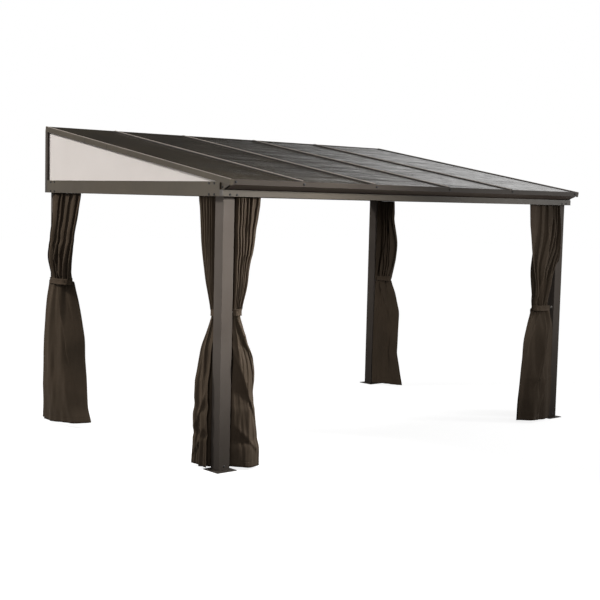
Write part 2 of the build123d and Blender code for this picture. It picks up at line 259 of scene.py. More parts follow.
def cloth(name, dark, light, seams=()):
    """Woven polyester: crossed threads, a slubby colour, seams and a soft sheen, laid out in metres."""
    n = material_nodes(name)
    slub = n.noise(scale=60.0, stretch=(1.0, 0.08, 1.0), space="UV")
    fade = n.noise(scale=2.5, detail=3.0, space="UV")
    mixed = n.math("MULTIPLY_ADD", slub, SLUB_SHARE, fade)
    warp = n.wave(WEAVE_SCALE, "X", "UV")
    weft = n.wave(WEAVE_SCALE, "Y", "UV")
    threads = n.bump(n.math("MAXIMUM", warp, weft), strength=0.2, distance=0.0006)
    crease = n.noise(scale=18.0, stretch=(1.0, 0.35, 1.0), space="UV")
    normal = n.bump(crease, strength=0.35, distance=0.006, before=threads)
    for seam in seams:
        away = n.math("ABSOLUTE", n.math("SUBTRACT", n.axes("UV")["Y"], seam))
        groove = n.math("MINIMUM", n.math("DIVIDE", away, SEAM_WIDTH), 1.0)
        normal = n.bump(groove, strength=0.6, distance=0.002, before=normal)
    n.set(
        Base_Color=n.ramp(mixed, [(0.45, linear(dark)), (0.85, linear(light))]),
        Normal=normal,
        Roughness=n.span(n.noise(scale=30.0, space="UV"), low=0.72, high=0.9),
        Sheen_Weight=0.04,
        Sheen_Roughness=0.45,
        Sheen_Tint=linear((150, 128, 108)),
        Specular_IOR_Level=0.12,
    )
    return n.owner


def moulded(name, colour, roughness):
    """Moulded plastic, rubber or plated metal with a fine grain."""
    n = material_nodes(name)
    grain = n.noise(scale=400.0, detail=3.0)
    dark = linear(colour)
    light = (*(min(1.0, part * GRAIN_LIFT) for part in dark[:3]), 1.0)
    n.set(
        Base_Color=n.ramp(grain, [(0.3, dark), (0.8, light)]),
        Normal=n.bump(grain, strength=0.08, distance=0.0004),
        Roughness=n.span(grain, low=roughness - 0.05, high=roughness + 0.1),
    )
    return n.owner


frame_paint = powder_coat("frame_powder_coat", (68, 61, 51), (79, 71, 59), roughness=0.42)
# The posts' paint is lighter than the frame's at the top and darkened towards the foot: painted light and
# painted shade down each post
post_paint = powder_coat(
    "post_powder_coat", (85, 78, 72), (96, 89, 83), roughness=0.5, gloss=0.03, foot=FOOT_SHADE
)
# Painted shade: a darker copy of the frame's paint for the eave trim and the gable uprights
eave_paint = powder_coat("eave_powder_coat", (58, 51, 45), (68, 61, 54), roughness=0.42)
# Painted light: the soffit gets a paler copy of the frame's paint, standing in for light that the eave
# shades off it
soffit_painted_light = powder_coat("soffit_powder_coat", (110, 99, 91), (122, 110, 101), roughness=0.6, gloss=0.03)
plate_paint = powder_coat("plate_powder_coat", (50, 45, 40), (62, 55, 49), roughness=0.5)
seam_paint = powder_coat("seam_powder_coat", (50, 45, 38), (62, 55, 47), roughness=0.20, gloss=0.5)
cap_plastic = moulded("cap_plastic", (66, 60, 54), roughness=0.5)
roof_sheet = bronze_sheet()
gable_sheet = opal_sheet()
curtain_cloth = cloth("curtain_cloth", (60, 51, 41), (71, 60, 49), seams=(HEM_SEAM, HEADING_SEAM))
tie_cloth = cloth("tie_cloth", (62, 52, 42), (72, 61, 50))
dark_screws = moulded("dark_screws", (18, 16, 15), roughness=0.6)
# The beads' pale colour is partly the aluminium's own and partly a painted highlight along the caps and the
# rake trims' top edges
bead_metal = moulded("bead_metal", (140, 130, 121), roughness=0.4)
gasket_rubber = moulded("gasket_rubber", (24, 22, 21), roughness=0.7)
glider_plastic = moulded("glider_plastic", (150, 146, 140), roughness=0.45)

# Paints by the start of a node's name; the other nodes get the frame's paint
node_paints = {
    "base_plates": plate_paint,
    "eave_trim": eave_paint,
    "front_soffit": soffit_painted_light,
    "glazing_caps": seam_paint,
    "gable_upright": eave_paint,
    "front_beam_caps": cap_plastic,
    "back_panels": gable_sheet,
    "gable_panel": gable_sheet,
    "roof_panel": roof_sheet,
    "post": post_paint,
}
for name, node in nodes.items():
    paints = [paint for start, paint in node_paints.items() if name.startswith(start)]
    node.data.materials.clear()
    node.data.materials.append(paints[0] if paints else frame_paint)


# Mesh helpers


def add_piece(name, mesh, material):
    piece = bpy.data.objects.new(name, mesh)
    bpy.context.scene.collection.objects.link(piece)
    mesh.materials.append(material)
    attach(piece, "root")
    return piece


def box_middle(name):
    low, high = (Vector(corner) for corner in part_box(name))
    return (low + high) / 2


def grid_mesh(name, points, uvs):
    """A mesh over a grid of points (rows, columns, 3), with a UV map in metres."""
    rows, columns = points.shape[:2]
    index = np.arange(rows * columns).reshape(rows, columns)
    corners = (index[:-1, :-1], index[:-1, 1:], index[1:, 1:], index[1:, :-1])
    faces = np.stack(corners, axis=-1).reshape(-1, 4)
    mesh = bpy.data.meshes.new(name)
    mesh.from_pydata(points.reshape(-1, 3).tolist(), [], faces.tolist())
    layer = mesh.uv_layers.new(name="cloth")
    layer.data.foreach_set("uv", uvs.reshape(-1, 2)[faces.reshape(-1)].reshape(-1))
    mesh.polygons.foreach_set("use_smooth", [True] * len(mesh.polygons))
    return mesh


def thicken(piece, thickness):
    """Gives a sheet its thickness and keeps the result as the piece's own mesh."""
    modifier = piece.modifiers.new("thickness", "SOLIDIFY")
    modifier.thickness = thickness
    modifier.offset = 0.0
    depsgraph = bpy.context.evaluated_depsgraph_get()
    mesh = bpy.data.meshes.new_from_object(piece.evaluated_get(depsgraph))
    old = piece.data
    piece.modifiers.clear()
    piece.data = mesh
    bpy.data.meshes.remove(old)


def join_rings(bm, rings):
    """Adds faces between rings of vertices, one after the other, and closes both ends."""
    for lower, upper in zip(rings, rings[1:]):
        for i in range(len(lower)):
            j = (i + 1) % len(lower)
            bm.faces.new((lower[i], lower[j], upper[j], upper[i]))
    bm.faces.new(list(reversed(rings[0])))
    bm.faces.new(rings[-1])


def closed_mesh(name, bm):
    """The shapes in bm as a mesh, with their faces turned outwards."""
    bmesh.ops.recalc_face_normals(bm, faces=bm.faces)
    mesh = bpy.data.meshes.new(name)
    bm.to_mesh(mesh)
    bm.free()
    return mesh


# Curtains. Each hangs beside a post: "bay" is the way into its bay and "inward" the way in from the
# beam, as plan directions. The cloth is pleated above its tie and falls in broad layers below it.
# pleats, layers: how many there are. seed: where its random draws start.
# crest: how sharp the pleats are. crowd: how much they crowd towards the post at the rail.
# face: the layer that shows, -1 for the innermost, or the outermost if it isn't given.
# fan: size of the folds that fan out from the tie, if not FAN_SIZE. lift: rise of the hem's far end.
# facets, creases, sweeps: folds as hinge and rolled take them. Creases lie below the tie, sweeps above.
# tie: the share of the hang, from hem to rail, at which the tie sits.
# sections: a share of the hang, the near and far edges from the post's middle along the bay, and the
# outer and inner limits across it.

# The near edge of a curtain that starts beside its post
BESIDE = 0.064


def beside(rows):
    """Sections that all start beside the post, from rows without a near edge."""
    return [(share, BESIDE, *limits) for share, *limits in rows]


CURTAINS = {}
CURTAINS["curtain_front_left"] = {
    "post": "post_front_left", "bay": (1, 0), "inward": (0, 1),
    "pleats": 6, "layers": 3, "seed": 3, "crest": 2.6, "crowd": 1.35, "fan": 0.005,
    "facets": [(-0.4, -0.4, 0.9), (0.30, 0.42, -0.95), (0.62, 0.72, -0.45), (0.80, 0.90, 0.40)],
    "creases": [
        (0.3, 0.0, 0.95, 0.32, 0.02, 0.06),
        (0.05, 0.3, 0.8, 0.66, 0.018, 0.07),
        (0.62, 0.0, 0.82, 0.45, 0.012, 0.05),
        (0.1, 0.74, 0.7, 0.88, 0.012, 0.07),
    ],
    "sweeps": [(0.3, 0.05, 0.55, 0.75, 0.014, 0.05)],
    "tie": 0.580,
    "sections": beside([
        (0.000, 0.310, -0.130, 0.050),
        (0.070, 0.302, -0.128, 0.050),
        (0.135, 0.282, -0.126, 0.050),
        (0.235, 0.258, -0.124, 0.050),
        (0.345, 0.252, -0.118, 0.046),
        (0.440, 0.208, -0.105, 0.036),
        (0.525, 0.160, -0.080, 0.020),
        (0.558, 0.136, -0.066, 0.012),
        (0.580, 0.130, -0.062, 0.012),
        (0.605, 0.138, -0.066, 0.010),
        (0.680, 0.175, -0.074, -0.010),
        (0.780, 0.215, -0.074, -0.022),
        (0.870, 0.252, -0.074, -0.028),
        (1.000, 0.290, -0.072, -0.030),
    ]),
}
CURTAINS["curtain_front_right"] = {
    "post": "post_front_right", "bay": (-1, 0), "inward": (0, 1),
    "pleats": 7, "layers": 3, "seed": 11, "crest": 2.4, "crowd": 3.4,
    "facets": [(-0.4, -0.4, 0.1), (0.26, 0.70, -1.05), (0.62, 0.92, 0.80)],
    "creases": [
        (0.16, 0.02, 0.58, 0.62, 0.034, 0.05),
        (0.55, 0.0, 0.82, 0.36, 0.016, 0.05),
        (0.34, 0.0, 0.42, 0.3, 0.012, 0.04),
        (0.15, 0.5, 0.52, 0.95, 0.012, 0.06),
    ],
    "sweeps": [
        (0.25, 0.05, 0.12, 0.8, 0.022, 0.05),
        (0.6, 0.0, 0.4, 0.75, 0.024, 0.05),
        (0.8, 0.12, 0.2, 0.94, 0.022, 0.06),
    ],
    "tie": 0.522,
    "sections": [
        (0.000, 0.120, 0.520, -0.135, -0.010),
        (0.250, 0.105, 0.475, -0.130, -0.008),
        (0.385, 0.095, 0.430, -0.120, -0.004),
        (0.450, 0.092, 0.390, -0.102, 0.002),
        (0.490, 0.106, 0.345, -0.080, 0.008),
        (0.522, 0.118, 0.325, -0.066, 0.010),
        (0.550, 0.112, 0.338, -0.074, 0.010),
        (0.620, 0.086, 0.370, -0.092, 0.008),
        (0.780, 0.048, 0.430, -0.100, -0.010),
        (0.880, 0.040, 0.448, -0.094, -0.016),
        (1.000, 0.056, 0.465, -0.078, -0.020),
    ],
}
CURTAINS["curtain_left_front"] = {
    "post": "post_front_left", "bay": (0, 1), "inward": (1, 0),
    "pleats": 5, "layers": 5, "seed": 23, "crest": 1.5, "crowd": 1.2, "fan": 0.004,
    "facets": [(-0.4, -0.4, 0.15), (0.35, 0.30, -0.30), (0.70, 0.62, 0.25), (0.85, 0.85, -0.4)],
    "creases": [
        (0.55, 0.0, 0.3, 0.4, 0.014, 0.06),
        (0.2, 0.55, 0.75, 0.75, 0.014, 0.07),
        (0.15, 0.75, 0.7, 0.9, 0.012, 0.07),
    ],
    "tie": 0.575,
    "sections": beside([
        (0.000, 0.270, -0.105, 0.050),
        (0.150, 0.245, -0.100, 0.050),
        (0.300, 0.238, -0.090, 0.052),
        (0.440, 0.205, -0.075, 0.055),
        (0.550, 0.142, -0.024, 0.060),
        (0.575, 0.134, -0.016, 0.060),
        (0.600, 0.138, -0.024, 0.056),
        (0.660, 0.150, -0.048, 0.002),
        (0.760, 0.180, -0.062, -0.034),
        (0.900, 0.222, -0.068, -0.042),
        (1.000, 0.240, -0.066, -0.046),
    ]),
}
CURTAINS["curtain_left_back"] = {
    "post": "post_back_left", "bay": (0, -1), "inward": (1, 0),
    "pleats": 5, "layers": 2, "seed": 31, "crest": 1.1, "crowd": 1.1,
    "facets": [(-0.4, -0.4, 0.12), (0.30, 0.38, -0.20), (0.50, 0.84, -1.1)],
    "creases": [
        (0.52, 0.0, 0.76, 0.5, 0.022, 0.06),
        (0.76, 0.46, 0.93, 0.95, 0.016, 0.06),
        (0.74, 0.0, 0.92, 0.4, 0.014, 0.05),
        (0.25, 0.0, 0.15, 0.3, 0.01, 0.06),
    ],
    "sweeps": [
        (0.55, 0.06, 0.16, 0.45, 0.018, 0.05),
        (0.7, 0.06, 0.4, 0.6, 0.014, 0.05),
    ],
    "lift": 0.040, "tie": 0.618,
    "sections": [
        (0.000, -0.062, 0.570, -0.150, 0.020),
        (0.060, -0.040, 0.510, -0.148, 0.020),
        (0.250, -0.034, 0.472, -0.145, 0.020),
        (0.380, -0.032, 0.440, -0.138, 0.018),
        (0.470, -0.028, 0.392, -0.130, 0.014),
        (0.540, -0.020, 0.345, -0.120, 0.008),
        (0.590, -0.010, 0.318, -0.105, -0.005),
        (0.618, 0.000, 0.308, -0.098, -0.010),
        (0.645, -0.008, 0.330, -0.110, -0.040),
        (0.720, -0.034, 0.392, -0.124, -0.074),
        (0.780, -0.020, 0.410, -0.108, -0.068),
        (0.880, 0.000, 0.444, -0.090, -0.056),
        (1.000, 0.010, 0.492, -0.072, -0.040),
    ],
}
CURTAINS["curtain_right_front"] = {
    "post": "post_front_right", "bay": (0, 1), "inward": (-1, 0),
    "pleats": 6, "layers": 5, "seed": 43, "crest": 1.7, "crowd": 1.2,
    "facets": [(-0.4, -0.4, 0.3), (0.35, 0.45, -0.6), (0.70, 0.80, 0.3)],
    "creases": [(0.5, 0.0, 0.6, 0.5, 0.014, 0.06)],
    "tie": 0.565,
    "sections": beside([
        (0.00, 0.280, -0.110, 0.060),
        (0.15, 0.262, -0.105, 0.060),
        (0.30, 0.240, -0.095, 0.055),
        (0.44, 0.200, -0.080, 0.045),
        (0.54, 0.150, -0.055, 0.025),
        (0.565, 0.142, -0.050, 0.026),
        (0.59, 0.150, -0.055, 0.025),
        (0.66, 0.165, -0.065, 0.020),
        (0.76, 0.190, -0.075, 0.010),
        (0.90, 0.225, -0.082, 0.000),
        (1.00, 0.235, -0.076, -0.004),
    ]),
}
CURTAINS["curtain_right_back"] = {
    "post": "post_back_right", "bay": (0, -1), "inward": (-1, 0),
    "pleats": 6, "layers": 3, "seed": 57, "crest": 0.6, "face": -1, "crowd": 1.1,
    "facets": [(-0.4, -0.4, -0.35), (0.45, 0.35, -0.2), (0.84, 0.88, -0.6)],
    "creases": [
        (0.35, 0.0, 0.75, 0.4, 0.012, 0.06),
        (0.82, 0.45, 0.7, 0.95, 0.014, 0.06),
    ],
    "sweeps": [(0.2, 0.05, 0.85, 0.75, 0.022, 0.08)],
    "tie": 0.579,
    "sections": [
        (0.000, 0.062, 0.385, -0.115, 0.050),
        (0.070, 0.062, 0.345, -0.112, 0.050),
        (0.170, 0.062, 0.305, -0.108, 0.050),
        (0.300, 0.062, 0.318, -0.100, 0.048),
        (0.400, 0.062, 0.335, -0.092, 0.046),
        (0.490, 0.062, 0.290, -0.075, 0.042),
        (0.555, 0.062, 0.245, -0.052, 0.036),
        (0.579, 0.062, 0.235, -0.044, 0.034),
        (0.603, 0.062, 0.245, -0.052, 0.034),
        (0.690, BESIDE, 0.275, -0.075, 0.026),
        (0.770, BESIDE, 0.290, -0.085, 0.020),
        (0.860, BESIDE, 0.255, -0.085, 0.010),
        (1.000, BESIDE, 0.225, -0.076, -0.004),
    ],
}
RAIL_GAP = 0.001

# The cloth's grid and thickness, and how far the sections' curves are smoothed
CLOTH_COLUMNS = 241
CLOTH_ROWS = 121
CLOTH_THICKNESS = 0.0016
CURVE_REACH = 0.03
CURVE_STEPS = 9
CURVE_TAPER = 0.95
# The far edge wanders, except close to the tie
EDGE_WANDER = 0.007
EDGE_EASE = (0.02, 0.10)
# Pleats: the spread of their widths and depths, how much both wander and how far that steadies to the
# rail, how round they are, and where up the cloth and how near its edge they crowd
PLEAT_WIDTHS = (0.5, 1.5)
PLEAT_DEPTHS = (0.5, 1.0)
PLEAT_WANDER = 1.5
PLEAT_STEADIED = 0.6
DEPTH_WANDER = 0.35
PLEAT_ROUNDING = 0.6
CROWD_EASE = (0.25, 1.0)
CROWD_LEAST = 0.02
# Small gathers at the heading: their size, where they start and how many there are to a pleat
HEADING_GATHER = 0.006
HEADING_START = 0.955
HEADING_RATE = 2.6
# Layers: the width of the one that shows against the others, the reach of the others, how much of a
# layer a turn takes, the room that they share at least, how soft a facet's hinge is and how folds in a
# layer die out to its turns
FACE_WIDTH = 2.0
HIDDEN_REACH = 0.94
TURN_HALF = 0.10
LEAST_ROOM = 0.020
HINGE_SOFTNESS = 0.016
ARCH_POWER = 0.8
# Pleats change into layers between these shares below the tie, and a running mean rounds them off
TIE_BLEND = (-0.010, 0.018)
ROUNDING = np.array([1, 3, 5, 6, 5, 3, 1]) / 24
ROUNDING_PASSES = 2
# Swells in the layers, and folds that fan out from the tie and fade down the cloth
BROAD_SWELL = 0.016
FINE_SWELL = 0.006
SWELL_EASE = (0.0, 0.3)
FAN_SIZE = 0.012
FAN_RATE = 3.1
FAN_STEP = 1.9
FAN_WANDER = 2.0
FAN_RIPPLE = 0.4
FAN_LAG = 0.6
FAN_FADE = 0.30
# Rolled folds: how steep and how long their sides are, how their ends fade, and how far creases and
# sweeps stand out and lean back. Crinkles: their size above the tie, and how they fade at the rail
ROLL_STEEPNESS = 5
ROLL_TAIL = 2.2
ROLL_LIMIT = 40
ROLL_START = (0.06, 0.03)
ROLL_END = (0.12, 0.04)
CREASE_OUT = 1.9
CREASE_BACK = 0.6
SWEEP_BACK = 0.3
SWEEP_EASE = (0.0, 0.06)
CRINKLE = 0.0035
CRINKLE_EASE = (0.0, 0.1)
# The edge beside a post is tucked back, and cloth that wraps a post keeps clear of its sides
TUCK = 0.055
TUCK_WIDTH = 0.06
TUCK_EASE = (0.058, BESIDE)
WRAP_EASE = (0.0, 0.012)
WRAP_MIDDLE = 0.02
POST_CLEAR = 0.062
# The hem: the size of its waves, and how fast those and its lift die out upwards
HEM_WAVE = 0.006
HEM_WAVE_POWER = 8
LIFT_POWER = 3
# Ties: the band's height, thickness and grid, how far it stands off, its flare and its puckers, how
# square it is in plan and how much it slopes
TIE_HEIGHT = 0.05
TIE_THICKNESS = 0.003
BAND_TURNS = 121
BAND_ROWS = 9
BAND_CLEAR = 0.004
BAND_FLARE = 0.010
PUCKER = 0.0018
PUCKER_RATE = 11
BAND_POWER = 0.75
BAND_SLOPE = 0.004
BAND_SLOPE_TURN = 0.5
# Knobs hold the ties: their place along the bay and across it, from the post's middle
KNOB_ALONG = 0.050
KNOB_ACROSS = -0.030
# Gliders: where the first may hang, their margin in from the curtain's edges, their line and their drop
GLIDER_START = 0.07
GLIDER_MARGIN = 0.01
GLIDER_ACROSS = -0.040
GLIDER_DROP = 0.004


def in_place(spec, along, across, height):
    """Points given along the bay, across it and upwards, in the part's frame."""
    middle = box_middle(spec["post"])
    bay, inward = spec["bay"], spec["inward"]
    x = middle.x + bay[0] * along + inward[0] * across
    y = middle.y + bay[1] * along + inward[1] * across
    return np.stack(np.broadcast_arrays(x, y, height), axis=-1)


def eased(values, low, high):
    """0 below the low limit, 1 above the high one and a smooth step between."""
    share = np.clip((values - low) / (high - low), 0.0, 1.0)
    return share * share * (3 - 2 * share)


def run_smooth(values, kernel):
    """A running mean along each row, with the ends held."""
    half = len(kernel) // 2
    padded = np.concatenate([values[:, :1]] * half + [values] + [values[:, -1:]] * half, axis=1)
    return sum(weight * padded[:, i : i + values.shape[1]] for i, weight in enumerate(kernel))


def to_limits(values, low, high):
    """Each row stretched to reach from its low to its high limit."""
    least = values.min(axis=1, keepdims=True)
    most = values.max(axis=1, keepdims=True)
    return low + (values - least) / (most - least) * (high - low)


def section_curves(sections, share):
    """Near, far, outer and inner limits at every row, as smooth curves through the sections."""
    shifts = np.linspace(-CURVE_REACH, CURVE_REACH, CURVE_STEPS)
    weights = np.cos(shifts / CURVE_REACH * pi / 2 * CURVE_TAPER)
    weights /= weights.sum()
    places, *limits = zip(*sections)
    return [
        sum(weight * np.interp(share + shift, places, limit) for weight, shift in zip(weights, shifts))
        for limit in limits
    ]


def rolled(place, way, crease):
    """Height of a rolled fold: steep on one side, slow on the other, faded at both ends.

    A fold is its place and way at one end, the same at the other, its height and its width.
    """
    place_0, way_0, place_1, way_1, size, width = crease
    x = (place - place_0 - (place_1 - place_0) * (way - way_0) / (way_1 - way_0)) / width
    start = eased(way, way_0 - ROLL_START[0], way_0 + ROLL_START[1])
    end = eased(-way, -way_1 - ROLL_END[0], -way_1 + ROLL_END[1])
    tail = np.exp(-np.maximum(x, 0.0) / ROLL_TAIL)
    steep = 1 + np.exp(np.clip(-ROLL_STEEPNESS * x, -ROLL_LIMIT, ROLL_LIMIT))
    return size * (start * end) * tail / steep


def hinge(run, fall, facet):
    """Height of a facet that starts at a line down the cloth: its run at the tie and hem, and its slope."""
    at_tie, at_hem, slope = facet
    x = (run - at_tie - (at_hem - at_tie) * fall) / HINGE_SOFTNESS
    return slope * HINGE_SOFTNESS * np.logaddexp(0.0, x)


class Curtain:
    """A curtain's cloth on a grid: rows from the hem to the rail, columns along its width."""

    def __init__(self, spec):
        self.spec = spec
        self.rng = np.random.default_rng(spec["seed"])
        self.layers = spec["layers"]
        self.face = spec.get("face", 0) % self.layers
        self.facing = -1 if self.face == 0 else 1
        tie = spec["tie"]
        share = np.linspace(0.0, 1.0, CLOTH_ROWS)
        limits = [curve[:, None] for curve in section_curves(spec["sections"], share)]
        self.near, self.far, self.outer, self.inner = limits
        self.share = share[:, None]
        wander = EDGE_WANDER * self.noise(12, 2)[:, :1]
        self.far = self.far + wander * eased(np.abs(self.share - tie), *EDGE_EASE)
        self.width = self.far - self.near
        self.place = np.linspace(0.0, 1.0, CLOTH_COLUMNS)
        self.up = np.clip((self.share - tie) / (1 - tie), 0.0, 1.0)
        self.fall = np.clip((tie - self.share) / tie, 0.0, 1.0)
        self.lower = eased(tie - self.share, *TIE_BLEND)
        self.upper = 1 - self.lower

    def noise(self, rows, columns):
        """Smooth noise between -1 and 1 over the cloth, eased between a coarse grid of heights."""

        def between(size, count):
            place = np.linspace(0, size - 1, count)
            low = np.minimum(place.astype(int), size - 2)
            return low, eased(place - low, 0.0, 1.0)

        heights = self.rng.uniform(-1, 1, (rows, columns))
        low, share = between(rows, CLOTH_ROWS)
        by_row = heights[low] * (1 - share[:, None]) + heights[low + 1] * share[:, None]
        low, share = between(columns, CLOTH_COLUMNS)
        return by_row[:, low] * (1 - share) + by_row[:, low + 1] * share

    def pleated(self):
        """Cloth above the tie: uneven pleats, crowded towards the post at the rail, wandering down."""
        pleats = self.spec["pleats"]
        bends = 2 * pleats
        crowd = 1 + (self.spec["crowd"] - 1) * eased(self.up, *CROWD_EASE)
        self.spread = self.place**crowd
        spacing = crowd * np.maximum(self.place, CROWD_LEAST) ** (crowd - 1)
        knots = np.cumsum(np.concatenate([[0.0], self.rng.uniform(*PLEAT_WIDTHS, bends)]))
        phase = np.interp(self.place, knots / knots[-1], np.arange(bends + 1) * pi)
        phase = phase + PLEAT_WANDER * self.noise(5, pleats + 2) * (1 - PLEAT_STEADIED * self.up)
        depths = self.rng.uniform(*PLEAT_DEPTHS, bends + 1)
        depth = np.interp(self.place, np.linspace(0, 1, bends + 1), depths)
        depth = depth * (1 + DEPTH_WANDER * self.noise(6, pleats + 2)) / (0.5 + 0.5 * spacing)
        crest = (0.5 + 0.5 * np.sin(phase)) ** self.spec["crest"] * 2 - 1
        round_out = self.width / pleats / (2 * pi) * PLEAT_ROUNDING * spacing
        along = self.near + self.width * self.spread - round_out * np.sin(2 * phase)
        middle = (self.outer + self.inner) / 2
        half = (self.inner - self.outer) / 2
        heading = HEADING_GATHER * eased(self.share, HEADING_START, 1.0) * np.sin(HEADING_RATE * phase)
        return along, middle + half * depth * crest + heading

    def layered(self):
        """Cloth below the tie: layers that run to and fro between the near and far edges."""
        layers, face = self.layers, self.face
        widths = np.where(np.arange(layers) == face, FACE_WIDTH, 1.0)
        edges = np.concatenate([[0.0], np.cumsum(widths)]) / widths.sum()
        place = np.interp(self.place, edges, np.arange(layers + 1))
        self.layer = np.minimum(np.floor(place), layers - 1)
        part = place - self.layer
        self.run = np.where(self.layer % 2 == 1, 1 - part, part)
        self.arch = np.sin(pi * part) ** ARCH_POWER
        reach = np.where(self.layer == face, 1.0, HIDDEN_REACH)
        along = self.near + self.width * self.run * reach
        relief = sum(hinge(self.run, self.fall, facet) for facet in self.spec["facets"]) * self.width
        relief = relief.max(axis=1, keepdims=True) - relief
        turns = np.arange(1, layers)[:, None, None]
        step = eased(place, turns - TURN_HALF, turns + TURN_HALF).sum(axis=0)
        behind = step if face == 0 else layers - 1 - step
        room = self.inner - self.outer - relief.max(axis=1, keepdims=True)
        gap = np.maximum(room, LEAST_ROOM) / (layers - 1)
        viewed = self.outer if face == 0 else self.inner
        return along, viewed - self.facing * (relief + gap * behind)

    def folded(self, along, across):
        """Adds broad swells, folds that fan out from the tie, rolled creases and sweeps, and crinkles."""
        layers, run, fall = self.layers, self.run, self.fall
        swell = BROAD_SWELL * self.noise(5, 4 * layers) + FINE_SWELL * self.noise(9, 10 * layers)
        angle = 2 * pi * FAN_RATE * run + FAN_STEP * self.layer + FAN_WANDER * self.noise(4, 3 * layers)
        fan = np.sin(angle) + FAN_RIPPLE * np.sin(2 * angle + FAN_LAG)
        fan = fan * np.exp(-((fall / FAN_FADE) ** 2))
        rolls = sum(rolled(run, fall, crease) for crease in self.spec["creases"])
        relief = swell * eased(fall, *SWELL_EASE) + self.spec.get("fan", FAN_SIZE) * fan
        relief = relief + CREASE_OUT * self.facing * rolls
        across = across + self.lower * self.arch * relief
        along = along - self.lower * self.arch * CREASE_BACK * rolls
        for sweep in self.spec.get("sweeps", []):
            roll = rolled(self.spread, self.up, sweep) * eased(self.place, *SWEEP_EASE) * self.upper
            across = across + self.facing * roll
            along = along - SWEEP_BACK * roll
        crinkle = CRINKLE * self.upper * self.noise(12, 30)
        across = across + crinkle * eased(1 - self.share, *CRINKLE_EASE)
        along = np.clip(along, self.near, self.far)
        return along, to_limits(across, self.outer, self.inner)

    def cleared(self, along, across):
        """Tucks the edge beside a post back, and keeps cloth that wraps a post clear of it."""
        tuck = TUCK * self.upper * np.exp(-((self.place / TUCK_WIDTH) ** 2))
        across = across + tuck * eased(self.near, *TUCK_EASE)
        outside = np.minimum(across, -POST_CLEAR)
        inside = np.maximum(across, POST_CLEAR)
        clear = np.where(across < WRAP_MIDDLE, outside, inside)
        return across + eased(BESIDE - along, *WRAP_EASE) * (clear - across)

    def points(self, top, hem):
        """The cloth's grid of points, its UVs in metres from the hem, and its flat width."""
        pleat_along, pleat_across = self.pleated()
        fold_along, fold_across = self.layered()
        along = self.upper * pleat_along + self.lower * fold_along
        across = self.upper * pleat_across + self.lower * fold_across
        for _ in range(ROUNDING_PASSES):
            along = run_smooth(along, ROUNDING)
            across = run_smooth(across, ROUNDING)
        along = to_limits(along, self.near, self.far)
        along, across = self.folded(along, across)
        across = self.cleared(along, across)

        rise = self.share * (top - hem)
        sag = 1 - self.share
        height = hem + rise
        height = height + sag**HEM_WAVE_POWER * HEM_WAVE * (1 + self.noise(2, 3 * self.layers))
        height = height + sag**LIFT_POWER * self.spec.get("lift", 0.0) * self.run**2
        steps = np.sqrt((np.diff(np.stack([along, across]), axis=2) ** 2).sum(axis=0))
        flat_width = float(steps.sum(axis=1).mean())
        run_out = np.concatenate([[0.0], np.cumsum(steps.mean(axis=0))])
        uvs = np.stack(np.broadcast_arrays(run_out, rise), axis=-1)
        return in_place(self.spec, along, across, height), uvs, flat_width


def band_points(spec, middle_height):
    """A doubled band drawn round the waist, puckered a little, as a closed run of points."""
    rng = np.random.default_rng(spec["seed"] + 1)
    curves = section_curves(spec["sections"], np.array([spec["tie"]]))
    near, far, outer, inner = (float(curve[0]) for curve in curves)
    turn = np.linspace(0, 2 * pi, BAND_TURNS)
    rise = np.linspace(-0.5, 0.5, BAND_ROWS)[:, None]
    pucker = PUCKER * np.sin(PUCKER_RATE * turn + rng.uniform(0, 6)) * np.cos(rise * pi)
    flare = BAND_CLEAR + BAND_FLARE * rise**2 + pucker
    round_cos = np.sign(np.cos(turn)) * np.abs(np.cos(turn)) ** BAND_POWER
    round_sin = np.sign(np.sin(turn)) * np.abs(np.sin(turn)) ** BAND_POWER
    along = (near + far) / 2 + ((far - near) / 2 + flare) * round_cos
    across = (outer + inner) / 2 + ((inner - outer) / 2 + flare) * round_sin
    height = middle_height + rise * TIE_HEIGHT + BAND_SLOPE * np.sin(turn + BAND_SLOPE_TURN)
    waist = BAND_ROWS // 2
    girth = float(np.hypot(np.diff(along[waist]), np.diff(across[waist])).sum())
    uvs = np.stack(np.broadcast_arrays(turn / (2 * pi) * girth, rise * TIE_HEIGHT), axis=-1)
    return in_place(spec, along, across, height), uvs, girth


knobs, gliders = [], []
for name, spec in CURTAINS.items():
    rail = "curtain_rail_" + name.split("_")[1]
    rail_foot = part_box(rail)[0][2]
    top = rail_foot - RAIL_GAP
    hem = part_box(name)[0][2]
    points, uvs, flat_width = Curtain(spec).points(top, hem)
    piece = add_piece(name + "_cloth", grid_mesh(name, points, uvs), curtain_cloth)
    thicken(piece, CLOTH_THICKNESS)
    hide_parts(name)

    tie_height = hem + spec["tie"] * (top - hem)
    points, uvs, girth = band_points(spec, tie_height)
    band = add_piece(name + "_tie", grid_mesh(name + "_tie", points, uvs), tie_cloth)
    thicken(band, TIE_THICKNESS)
    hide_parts("curtain_ties")

    knob = in_place(spec, KNOB_ALONG, KNOB_ACROSS, tie_height)
    knobs.append((knob.tolist(), (*spec["bay"], 0)))
    near, far = spec["sections"][-1][1:3]
    first = max(near, GLIDER_START) + GLIDER_MARGIN
    for along in np.linspace(first, far - GLIDER_MARGIN, spec["pleats"] + 1):
        glider = in_place(spec, along, GLIDER_ACROSS, rail_foot - GLIDER_DROP)
        gliders.append((glider.tolist(), (0, 0, 1)))


# Fittings: turned pieces set on the faces of the frame, gathered into one mesh a kind. A profile's rows
# are a radius and a height along the axis.

